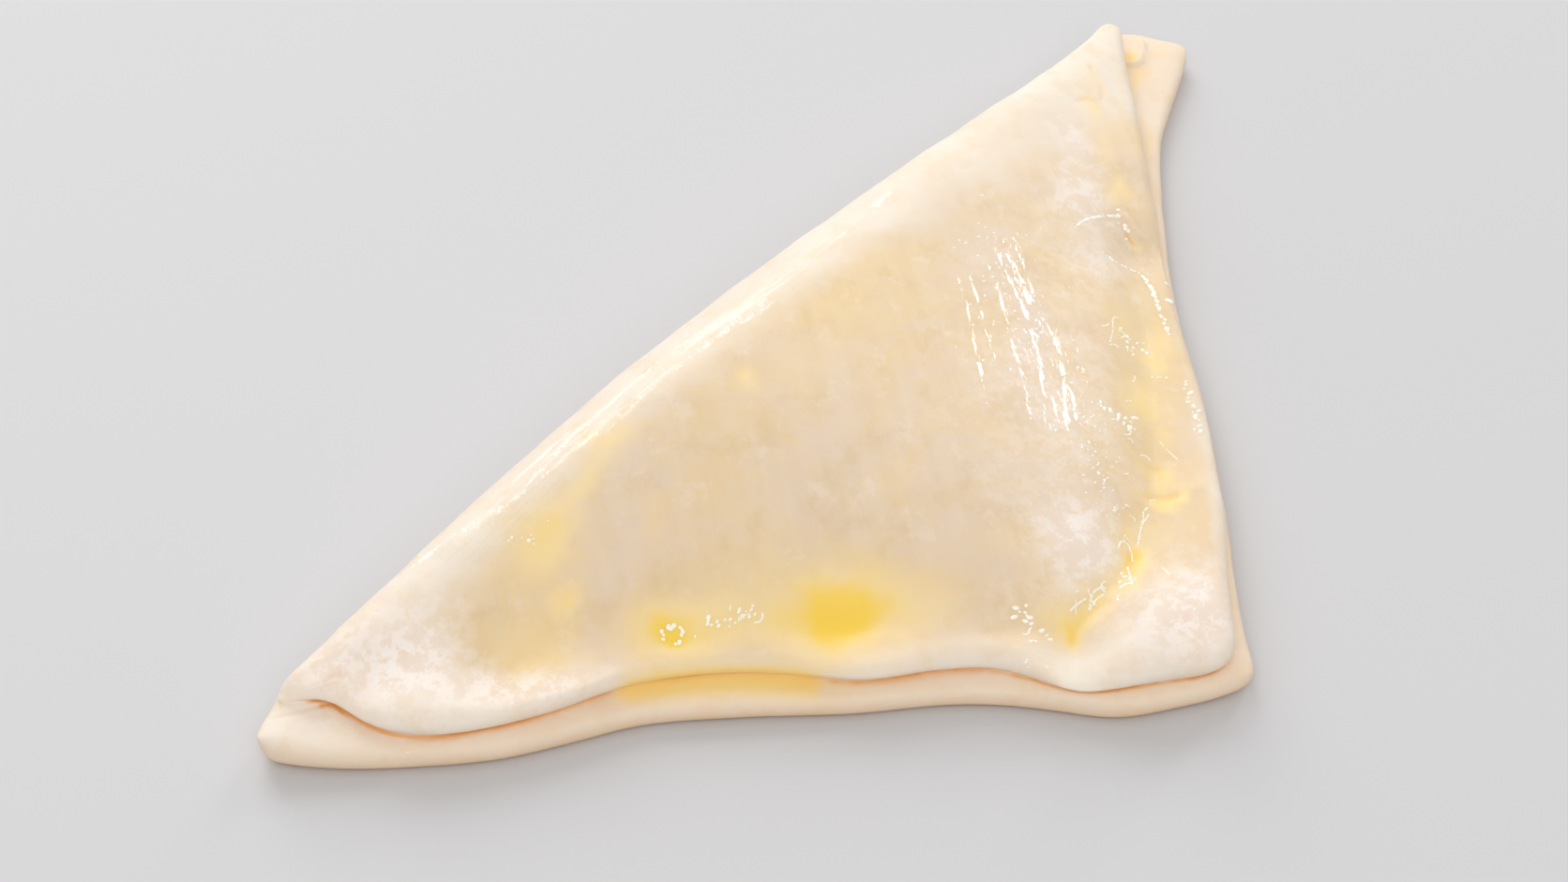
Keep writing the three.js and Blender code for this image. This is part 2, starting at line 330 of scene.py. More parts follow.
# how the painted shade of the line between the layers is laid on: heights, hollows and reaches are
# in millimetres
seamShade = {
    "heights": (2.6, 6.6),
    "hollow": (0.08, 0.20),
    "shut": (0.42, 0.80),  # share of the air close by that dough closes off: none and full line
    "closeBy": 1.6,
    "farther": 5.0,
    "deep": (0.45, 0.95),
    "upperEnd": (5.6, 6.4),
    "rightEnd": (72.0, 78.0),
    "without": {"at": (-14.5, -26.5), "radius": (4.0, 4.0), "turn": 0},  # no line in the valley
    "strength": 1.5,
    "most": 0.72,
    "foot": 0.40,  # painted shade on the steep side just above the floor
    # less painted shade on the flap
    "flapWithLessShade": {"at": (84.0, 33.0), "radius": (16.0, 12.0), "turn": 0, "amount": 0.45},
}

# where egg wash and flour lie: how far they wander, and the wash's borders in millimetres
brushing = {
    "drift": 1.6,
    "leftBorder": (1.0, 8.0),
    "rightBorder": (1.0, 5.0),
    # less egg wash towards the fold: partly thinner wash, partly a painted highlight that makes the
    # ridge paler
    "foldBorder": (28.0, 36.0),
    "foldShare": 0.85,
    "dryAndHighlightLimits": (0.1, 0.9),
}

# where the dough is pulled out again to a corner or a lip: place, reach and move
pulls = [
    {"path": [(84.3, 42.4, 8.2), (83.8, 41.8, 8.2)], "reach": 1.8, "move": (0.5, 0.9, 0.3)},
    {"path": [(90.8, 34.6, 3.4), (91.0, 35.4, 3.4)], "reach": 1.8, "move": (1.3, -0.3, 0.0)},
    {"path": [(-90.0, 43.6, 5.6), (-88.0, 44.0, 6.4)], "reach": 2.8, "move": (-2.0, 0.3, -0.3)},
    {"path": [(-91.6, 42.6, 0.8), (-91.2, 41.8, 0.8)], "reach": 2.2, "move": (-0.5, 0.3, 0.0)},
    {"path": [(-2.0, -46.0, 3.0), (-2.0, -45.5, 3.0)], "reach": 3.0, "move": (0.0, -0.5, 0.0)},
    {"path": [(28.0, -19.0, 6.8), (45.0, -2.5, 6.4), (60.0, 12.5, 6.0)],
     "reach": 2.4, "move": (0.34, -0.36, 0.0)},
]

# edges that run smoothly into what lies beside them: the right rim into its valley, the upper
# layer into the lower one at the left tip and where egg wash closes the seam
softEdges = [
    {"path": [(47.0, 9.0), (42.6, 4.4), (29.8, -5.8), (19.5, -14.0)], "reach": 2.6, "rounds": 30},
    {"path": [(-90.0, 44.4, 6.8), (-88.0, 43.3, 7.0), (-85.9, 42.2, 6.4), (-84.0, 41.2, 5.6)],
     "reach": 2.0, "rounds": 120},
    {"path": [(-56.0, 12.6, 5.2), (-51.8, 8.9, 5.5), (-48.4, 6.0, 5.4), (-45.7, 2.9, 5.4),
              (-42.1, -1.9, 5.4)],
     "reach": 1.7, "rounds": 100},
]

# grooves pressed or pinched into the dough: where, half width, depth, and how much painted shade
# darkens them
creases = [
    {"path": [(-90.4, 43.6, 5.8), (-86.6, 41.2, 5.7), (-84.6, 40.4, 5.3), (-82.8, 39.6, 5.1)],
     "width": 0.35, "depth": 0.14, "creaseShade": 0.16},
    {"path": [(-82.0, 40.3), (-79.8, 38.7)], "width": 0.4, "depth": 0.12, "creaseShade": 0.12},
    {"path": [(-84.0, 40.4, 5.3), (-83.0, 39.8, 5.2), (-82.3, 39.2, 5.1), (-82.2, 38.2, 5.0),
              (-82.5, 37.2, 4.9)],
     "width": 0.30, "depth": 0.14, "creaseShade": 0.8},
    {"path": [(-16.0, -27.4), (-14.6, -26.4), (-11.2, -25.8), (-6.6, -27.0)],
     "width": 0.7, "depth": 0.40, "creaseShade": 0.0},
    {"path": [(-14.5, -26.0), (-12.0, -25.0), (-5.0, -25.6), (1.8, -24.5)],
     "width": 1.2, "depth": 0.38, "creaseShade": 0.0},
    {"path": [(1.8, -24.5), (9.0, -21.0), (17.3, -16.0), (31.4, -5.2), (42.0, 3.4), (50.5, 12.1)],
     "width": 1.8, "depth": 0.12, "creaseShade": 0.0},
    {"path": [(-14.5, -25.5), (-19.0, -21.0), (-23.0, -16.5)],
     "width": 1.3, "depth": 0.22, "creaseShade": 0.0},
    {"path": [(17.0, -16.2), (15.0, -17.8), (13.0, -20.2), (12.6, -22.0)],
     "width": 1.4, "depth": 0.32, "creaseShade": 0.0},
    {"path": [(10.4, -19.4), (12.8, -20.4), (14.0, -22.2)],
     "width": 0.6, "depth": 0.25, "creaseShade": 0.10},
    {"path": [(2.9, -21.7), (0.6, -24.4), (-2.6, -26.4)],
     "width": 0.6, "depth": 0.22, "creaseShade": 0.06},
    {"path": [(-12.1, -33.0), (-10.3, -32.1), (-8.4, -31.4), (-6.7, -31.5)],
     "width": 0.5, "depth": 0.16, "creaseShade": 0.04},
    {"path": [(50.6, 14.2), (50.5, 13.2), (50.2, 12.0)], "width": 0.26, "depth": 0.20, "creaseShade": 0.5},
    {"path": [(51.7, 17.0), (51.3, 15.4), (50.6, 13.4), (50.2, 11.4)],
     "width": 0.6, "depth": 0.16, "creaseShade": 0.0},
    {"path": [(54.0, 17.0), (53.6, 15.0), (52.6, 12.8)],
     "width": 0.45, "depth": 0.14, "creaseShade": 0.12},
    {"path": [(-68.0, 29.4), (-67.2, 26.4), (-66.4, 25.2), (-62.0, 24.2)],
     "width": 0.9, "depth": 0.30, "creaseShade": 0.03},
    {"path": [(73.8, 38.3), (72.9, 37.0)], "width": 0.35, "depth": 0.14, "creaseShade": 0.25},
    {"path": [(71.6, 34.4), (70.4, 33.0), (68.4, 32.2)],
     "width": 0.45, "depth": 0.14, "creaseShade": 0.12},
    {"path": [(64.4, 34.0), (67.0, 33.6), (67.6, 32.0), (66.8, 30.6)],
     "width": 0.5, "depth": 0.14, "creaseShade": 0.1},
]

# rounded folds that stand up: the curl of dough at the right tip and wrinkles by the crack
folds = [
    {"path": [(89.4, 40.4), (88.6, 39.2), (86.4, 37.6), (84.4, 37.0), (83.3, 37.7), (83.0, 38.8)],
     "width": 0.40, "height": 0.75},
    {"path": [(11.8, -23.4), (13.6, -22.8), (15.8, -22.6), (17.2, -24.6)],
     "width": 1.1, "height": 0.26},
    {"path": [(49.2, 16.6), (48.8, 13.6), (49.2, 11.0)], "width": 0.7, "height": 0.22},
    {"path": [(52.9, 16.9), (52.3, 14.2), (51.4, 12.0)], "width": 0.5, "height": 0.22},
]

# how the egg wash lies: centre, radius, turn and strength of each yellow patch
eggPatches = [
    {"at": (-31.6, -2.2), "radius": (7.0, 5.6), "turn": -42, "amount": 0.92},
    {"at": (-31.4, -1.6), "radius": (11.0, 6.6), "turn": -42, "amount": 0.20},
    {"at": (-39.0, 5.0), "radius": (7.0, 3.6), "turn": -44, "amount": 0.36},
    {"at": (-47.5, 11.6), "radius": (6.0, 3.8), "turn": -45, "amount": 0.62},
    {"at": (-48.0, 14.4), "radius": (4.0, 2.4), "turn": -45, "amount": 0.5},
    {"at": (-47.9, 12.2), "radius": (0.9, 0.9), "turn": 0, "amount": 0.7},
    {"at": (-54.2, 25.4), "radius": (2.1, 1.7), "turn": 30, "amount": 0.48},
    {"at": (-61.0, 23.6), "radius": (7.0, 4.6), "turn": -30, "amount": 0.32},
    {"at": (-50.2, 32.4), "radius": (5.8, 3.4), "turn": 0, "amount": 0.60},
    {"at": (-41.5, 32.6), "radius": (3.4, 1.9), "turn": 0, "amount": 0.34},
    {"at": (-35.5, 33.6), "radius": (3.4, 2.0), "turn": 0, "amount": 0.40},
    {"at": (-39.0, 23.0), "radius": (4.0, 1.6), "turn": 40, "amount": 0.14},
    {"at": (-16.3, 26.4), "radius": (2.4, 1.2), "turn": 20, "amount": 0.34},
    {"at": (-23.5, -9.5), "radius": (8.0, 4.2), "turn": -42, "amount": 0.24},
    {"at": (4.0, 27.0), "radius": (12.0, 4.0), "turn": 8, "amount": 0.12},
    {"at": (-13.2, -24.0), "radius": (4.4, 3.2), "turn": -30, "amount": 0.50},
    {"at": (-14.2, -25.8), "radius": (1.8, 1.2), "turn": 40, "amount": 0.40},
    {"at": (-5.0, -26.0), "radius": (5.0, 1.8), "turn": 10, "amount": 0.34},
    {"at": (-9.4, -25.0), "radius": (4.0, 1.5), "turn": 5, "amount": 0.34},
    {"at": (0.4, -24.9), "radius": (2.0, 1.2), "turn": 45, "amount": 0.66},
    {"at": (-2.6, -26.6), "radius": (2.2, 1.1), "turn": 40, "amount": 0.40},
    {"at": (3.0, -21.9), "radius": (1.3, 0.9), "turn": 40, "amount": 0.35},
    {"at": (6.0, -21.4), "radius": (5.4, 2.4), "turn": 38, "amount": 0.26},
    {"at": (12.6, -20.6), "radius": (2.6, 1.3), "turn": -60, "amount": 0.62},
    {"at": (15.2, -17.4), "radius": (2.4, 1.6), "turn": 40, "amount": 0.50},
    {"at": (21.6, -14.4), "radius": (3.2, 1.6), "turn": 38, "amount": 0.42},
    {"at": (24.3, -8.4), "radius": (3.6, 2.6), "turn": 38, "amount": 0.52},
    {"at": (32.0, -4.0), "radius": (4.0, 2.0), "turn": 40, "amount": 0.52},
    {"at": (37.2, -2.2), "radius": (3.4, 1.8), "turn": 42, "amount": 0.32},
    {"at": (33.0, 2.4), "radius": (3.2, 1.8), "turn": 42, "amount": 0.24},
    {"at": (14.0, -14.0), "radius": (6.0, 3.0), "turn": 40, "amount": 0.10},
    {"at": (85.2, 38.6), "radius": (1.8, 1.2), "turn": 0, "amount": 0.45},
    {"at": (81.5, 34.9), "radius": (3.0, 1.4), "turn": 20, "amount": 0.26},
    {"at": (89.0, 36.2), "radius": (2.4, 1.6), "turn": 20, "amount": 0.14},
    {"at": (71.5, 25.8), "radius": (3.4, 1.0), "turn": 42, "amount": 0.20},
    {"at": (50.4, 12.6), "radius": (1.4, 1.0), "turn": 60, "amount": 0.30},
    {"at": (55.8, 19.2), "radius": (2.6, 1.4), "turn": 48, "amount": 0.46},
    {"at": (60.6, 25.4), "radius": (3.6, 2.0), "turn": 42, "amount": 0.26},
    {"at": (66.6, 32.4), "radius": (3.2, 1.6), "turn": 50, "amount": 0.34},
    {"at": (72.0, 35.6), "radius": (3.0, 1.4), "turn": 50, "amount": 0.22},
    {"at": (85.6, 38.9), "radius": (1.2, 0.9), "turn": 40, "amount": 0.45},
    {"at": (80.7, 35.0), "radius": (2.0, 0.7), "turn": 44, "amount": 0.28},
]

# egg wash that ran over the edge and fills the seam between the layers
seamPool = {
    "path": [(-55.8, 12.4, 4.8), (-50.2, 7.6, 4.8), (-45.4, 2.3, 4.8), (-40.6, -3.8, 4.6)],
    "width": 2.4, "amount": 0.67,
}

# pale, matte patches: mostly dry, floury dough that the brush left out; the one at the left tip is a
# painted highlight on its upper edge
dryAndHighlightPatches = [
    {"at": (-74.5, 34.5), "radius": (8.0, 7.5), "turn": -20, "amount": 0.95},
    {"at": (-67.0, 21.5), "radius": (9.0, 3.2), "turn": -42, "amount": 1.0},
    # painted highlight on the left tip's upper edge, laid on as pale dough
    {"at": (-82.0, 42.5), "radius": (7.0, 3.4), "turn": 0, "amount": 0.5},
    # a broad paler, less yellow patch over the right of the dome
    {"at": (12.0, -3.0), "radius": (26.0, 11.0), "turn": 45, "amount": 0.34},
    {"at": (-3.5, -37.0), "radius": (9.0, 6.5), "turn": 0, "amount": 0.95},
    {"at": (-3.4, -19.4), "radius": (5.0, 5.8), "turn": -50, "amount": 1.0},
    {"at": (50.0, 21.0), "radius": (8.0, 5.0), "turn": 20, "amount": 0.6},
    {"at": (58.0, 29.5), "radius": (5.0, 3.4), "turn": 30, "amount": 0.5},
    {"at": (40.0, 12.0), "radius": (6.0, 4.4), "turn": 30, "amount": 0.4},
]

# long wet marks of the brush, each with its half width
brushMarks = [
    {"path": [(20.0, 20.3), (18.4, 17.7), (13.6, 12.8), (7.8, 6.3), (2.6, 1.8)], "width": 0.18},
    {"path": [(21.8, 19.8), (17.1, 13.7), (13.1, 9.0), (9.2, 4.3)], "width": 0.18},
    {"path": [(25.9, 19.7), (24.4, 17.2), (21.0, 13.3), (16.9, 8.6), (11.9, 2.5), (7.6, -1.7)],
     "width": 0.25},
    {"path": [(28.4, 19.8), (25.3, 14.8), (22.5, 10.2), (18.1, 4.8), (13.3, 0.6), (7.4, -4.6)],
     "width": 0.28},
    {"path": [(29.9, 19.7), (27.2, 14.7), (24.1, 9.3), (22.3, 4.9), (17.5, 0.1), (13.3, -3.4),
              (9.5, -6.6)],
     "width": 0.31},
    {"path": [(33.0, 20.6), (31.6, 18.7), (29.3, 15.5), (26.7, 12.5)], "width": 0.24},
    {"path": [(27.6, 16.6), (26.2, 14.2), (24.6, 11.4)], "width": 0.46},
    {"path": [(16.7, -1.4), (14.5, -4.1), (12.5, -5.9)], "width": 0.24},
    {"path": [(14.5, 0.3), (11.3, -3.2), (9.4, -4.9)], "width": 0.18},
    {"path": [(24.4, 3.6), (20.8, -0.9), (18.6, -3.4)], "width": 0.15},
]

# places where only specks of the brush marks shine
brushSpecks = [
    {"at": (19.0, 6.0), "radius": (15.0, 7.0), "turn": 50, "amount": 0.26},
    {"at": (29.0, 19.0), "radius": (6.0, 4.0), "turn": 30, "amount": 0.34},
    {"at": (13.0, -5.0), "radius": (7.0, 4.0), "turn": 30, "amount": 0.36},
]

# wet lines that the brush left along the fold, and the band in which fainter ones lie
foldLines = [
    {"path": [(-46.0, 38.4), (-41.1, 38.6), (-32.1, 38.5), (-22.6, 38.7), (-14.0, 37.9),
              (-7.3, 36.5)], "width": 0.26},
    {"path": [(-51.0, 38.2), (-44.0, 37.2), (-37.2, 36.6), (-30.3, 35.6), (-22.9, 34.9),
              (-14.7, 34.9), (-4.4, 33.4), (1.5, 33.2)], "width": 0.32},
    {"path": [(-64.0, 43.0), (-56.5, 40.7), (-50.6, 38.6)], "width": 0.32},
    {"path": [(-12.5, 34.6), (-8.7, 35.6), (-5.6, 34.2), (-2.4, 34.8)], "width": 0.45},
]
foldShine = {"from": (-66.0, 33.5), "to": (34.0, 41.6), "fade": (12.0, 2.2)}


def copyOfNode(node, name):
    piece = linked(name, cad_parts[node].data.copy())
    piece.data.materials.clear()
    return piece


def inQuads(piece):
    form = bmesh.new()
    form.from_mesh(piece.data)
    bend, skew = [math.radians(angle) for angle in dough["quadAngles"]]
    bmesh.ops.remove_doubles(form, verts=form.verts, dist=0.01 * mm)
    bmesh.ops.join_triangles(
        form, faces=form.faces, angle_face_threshold=bend, angle_shape_threshold=skew,
    )
    form.to_mesh(piece.data)
    form.free()


def subdivided(piece, levels):
    modifier = piece.modifiers.new("rounding", "SUBSURF")
    modifier.levels = levels
    modifier.render_levels = levels
    depsgraph = bpy.context.evaluated_depsgraph_get()
    finer = bpy.data.meshes.new_from_object(piece.evaluated_get(depsgraph))
    piece.modifiers.clear()
    piece.data = finer


# splits the faces whose corners are all wanted
def refined(piece, wanted):
    form = bmesh.new()
    form.from_mesh(piece.data)
    chosen = set()
    for face in form.faces:
        if all(wanted[corner.index] for corner in face.verts):
            chosen.update(face.edges)
    edges = [edge for edge in form.edges if edge in chosen]
    bmesh.ops.subdivide_edges(form, edges=edges, cuts=1, use_grid_fill=True)
    form.to_mesh(piece.data)
    form.free()
    surface = Surface(piece.data)
    surface.relax(1)
    return surface


def nearAny(points, settings, reach):
    near = np.zeros(len(points), bool)
    for setting in settings:
        near |= alongPath(points, curved(setting["path"]))[0] < setting["width"] + reach
    return near


# the node's mesh with rounded edges, its corners pulled out, and smaller faces where needed
def roundedDough(piece):
    inQuads(piece)
    subdivided(piece, dough["subdivisions"])
    surface = Surface(piece.data)
    surface.relax(dough["relaxing"])
    for pull in pulls:
        away = alongPath(surface.points, pull["path"])[0]
        surface.points += np.exp(-(away / pull["reach"]) ** 2)[:, None] * np.array(pull["move"])
    surface.store()

    refining = dough["refining"]
    first, second = refining["hollow"]
    upper = surface.points[:, 2] > 2.0
    detailed = upper & nearAny(surface.points, creases + folds + brushMarks, refining["margin"])
    surface = refined(piece, detailed | (surface.hollow(5) > first))
    level = surface.points[:, 2]
    foot, top = refining["seam"]
    shut = surface.enclosed((level > foot) & (level < top), refining["reach"]) > 0.35
    surface = refined(piece, shut | (surface.hollow(5) > second))
    print("dough:", len(piece.data.vertices), "points,", len(piece.data.polygons), "faces")
    return surface


def addWaviness(surface):
    points = surface.points
    height = np.zeros(len(points))
    for i, (wavelength, amount) in enumerate(dough["waviness"]):
        height += amount * unevenness(points, wavelength, 7.3 * i)
    surface.lift(height * ease(points[:, 2], 0.3, 2.5))


# fills the gap between the layers, and closes it at the left tip and where egg wash fills it
def closeSeam(surface):
    points = surface.points
    fromLeft = insideOf(points, leftCorner, squareCorner)
    fromRight = insideOf(points, squareCorner, rightCorner)
    rim = 1 - ease(np.minimum(fromLeft, fromRight), *dough["seamInset"])
    rim = rim * ease(points[:, 2], 1.0, 2.5)
    groove = ease(surface.hollow(10), 0.16, 0.40) * rim
    broad = np.clip(surface.soften(surface.hollow(60), 6), 0, 1.5)
    surface.lift(dough["seamFilling"] * broad * rim)

    away, station = alongPath(points, curved(seamPool["path"]))
    pool = np.exp(-(away / seamPool["width"]) ** 3)
    filled = np.exp(-(away / (1.3 * seamPool["width"])) ** 4) * fadedEnds(station, 0.02, 0.2)
    closed = np.maximum(ease(-points[:, 0], *dough["closedTip"]), filled)
    for _ in range(dough["closingRounds"]):
        surface.fill(30, closed * rim)
    for edge in softEdges:
        away = alongPath(points, edge["path"])[0]
        surface.relax(edge["rounds"], np.exp(-(away / edge["reach"]) ** 2))
    surface.lift(-dough["seamDepth"] * groove * (1 - closed))
    print("seam filled")
    return {"fromLeft": fromLeft, "fromRight": fromRight, "rim": rim, "pool": pool, "closed": closed}


# presses the creases in and lifts the small folds; gives the painted shade of the creases
def pressCreases(surface, topSide):
    points = surface.points
    creaseShade = np.zeros(len(points))
    height = np.zeros(len(points))
    for crease in creases:
        away, station = alongPath(points, curved(crease["path"]))
        ends = fadedEnds(station, 0, 0.12)
        groove = np.exp(-(away / crease["width"]) ** 2)
        bottom = np.exp(-(away / (0.8 * crease["width"])) ** 2)
        height -= crease["depth"] * groove * (0.25 + 0.75 * ends) * topSide
        # painted shade along the bottom of each crease
        creaseShade = np.maximum(creaseShade, crease["creaseShade"] * bottom * ends * topSide)
    for fold in folds:
        away, station = alongPath(points, curved(fold["path"]))
        ridge = np.exp(-(away / fold["width"]) ** 2)
        height += fold["height"] * ridge * fadedEnds(station, 0, 0.2) * topSide
    surface.lift(height)
    return creaseShade


# painted shade: the tan line between the layers, the darker foot by the floor, and the warmer tone
# of dough that little light reaches
def shadeSeam(surface, seam, creaseShade):
    points, rim = surface.points, seam["rim"]
    level = points[:, 2]
    foot, top = seamShade["heights"]
    near = ((level > foot) & (level < top)) | (surface.hollow(12) > 0.04)
    near &= rim > 0.05
    shut = surface.enclosed(near, seamShade["closeBy"])
    shade = surface.enclosed(near, seamShade["farther"])

    # the seam line is painted shade, from how deep and how closed off each point is
    line = ease(surface.hollow(10), *seamShade["hollow"])
    line = np.maximum(line, ease(shut, *seamShade["shut"])) * rim
    line *= 1 - ease(level, *seamShade["upperEnd"])
    line *= 1 - ease(points[:, 0], *seamShade["rightEnd"])
    line *= 1 - hill(points, seamShade["without"])
    line *= 1 - np.maximum(seam["closed"], ease(seam["pool"], 0.0, 0.3))
    line = np.minimum(seamShade["strength"] * surface.soften(line, 1), seamShade["most"])
    # painted shade on the steep foot of the dough by the floor
    side = (1 - ease(surface.normals[:, 2], 0.2, 0.7)) * (1 - ease(level, 0.2, 2.8))
    paintedCreaseShade = np.maximum(np.maximum(creaseShade, line), seamShade["foot"] * side)

    # painted shade low on the dough: under the lip on the rim, and near the floor
    lower = 0.45 * (1 - ease(level, 3.6, 5.6)) * rim + 0.55 * (1 - ease(level, 0.2, 3.0))
    lower *= 1 - patched(points, [seamShade["flapWithLessShade"]])
    # with more painted shade where the dough around closes off the light
    paintedShade = lower + 0.7 * ease(shade, *seamShade["deep"])
    print("seam shaded")
    return {
        "paintedCreaseShade": surface.soften(np.clip(paintedCreaseShade, 0, 1), 1),
        "paintedShade": surface.soften(np.clip(paintedShade, 0, 1), 3),
    }


# where the brush left egg wash, and the pale patches: dry, floury dough and a painted highlight at
# the left tip
def brushWash(surface, seam, topSide):
    points = surface.points
    level = points[:, 2]
    faceUp = ease(surface.normals[:, 2], 0.1, 0.6)
    upward = faceUp * ease(level, 3.0, 5.5)
    wander = np.stack([unevenness(points, 7.0, 3.1), unevenness(points, 7.0, 9.7)], 1)
    wander += 0.5 * np.stack([unevenness(points, 2.5, 5.1), unevenness(points, 2.5, 1.7)], 1)
    drifted = points.copy()
    drifted[:, :2] += brushing["drift"] * wander

    dryAndHighlight = patched(drifted, dryAndHighlightPatches)
    towardsFold = points[:, 1] + 0.05 * points[:, 0] + wander[:, 1]
    wash = upward * ease(seam["fromLeft"] + wander[:, 0], *brushing["leftBorder"])
    wash *= ease(seam["fromRight"] + wander[:, 1], *brushing["rightBorder"])
    # partly a painted highlight: the ridge by the fold is left paler
    wash *= 1 - brushing["foldShare"] * ease(towardsFold, *brushing["foldBorder"])
    wash *= 1 - ease(dryAndHighlight, *brushing["dryAndHighlightLimits"])

    yolk = patched(drifted, eggPatches) * faceUp * ease(level, 1.8, 3.2)
    yolk = np.maximum(yolk, seamPool["amount"] * seam["pool"])

    wet = np.zeros(len(points))
    dashes = 0.85 + 0.55 * unevenness(points, 2.2, 6.3)
    for mark in brushMarks + foldLines:
        away = alongPath(points, curved(mark["path"]))[0]
        wet = np.maximum(wet, dashes - away / (2 * mark["width"]))
    for spot in brushSpecks:
        wet = np.maximum(wet, patched(points, [spot]))

    shine = upward
    start, end, fade = foldShine["from"], foldShine["to"], foldShine["fade"]
    for axis in (0, 1):
        shine = shine * ease(points[:, axis], start[axis], start[axis] + fade[axis])
        shine = shine * ease(-points[:, axis], -end[axis], -end[axis] + fade[axis])
    print("egg wash brushed")
    return {
        "wash": wash,
        "dryAndHighlight": np.clip(dryAndHighlight, 0, 1) * upward,
        "yolk": np.clip(yolk, 0, 1),
        "wet": wet * topSide,
        "shine": shine,
    }


def makeDough():
    piece = copyOfNode("pastry", "dough")
    surface = roundedDough(piece)
    addWaviness(surface)
    seam = closeSeam(surface)
    topSide = ease(surface.normals[:, 2], 0.0, 0.4) * ease(surface.points[:, 2], 1.5, 3.0)
    creaseShade = pressCreases(surface, topSide)
    finishes = shadeSeam(surface, seam, creaseShade)
    finishes.update(brushWash(surface, seam, topSide))
    for name, values in finishes.items():
        surface.mark(name, values)
    return piece


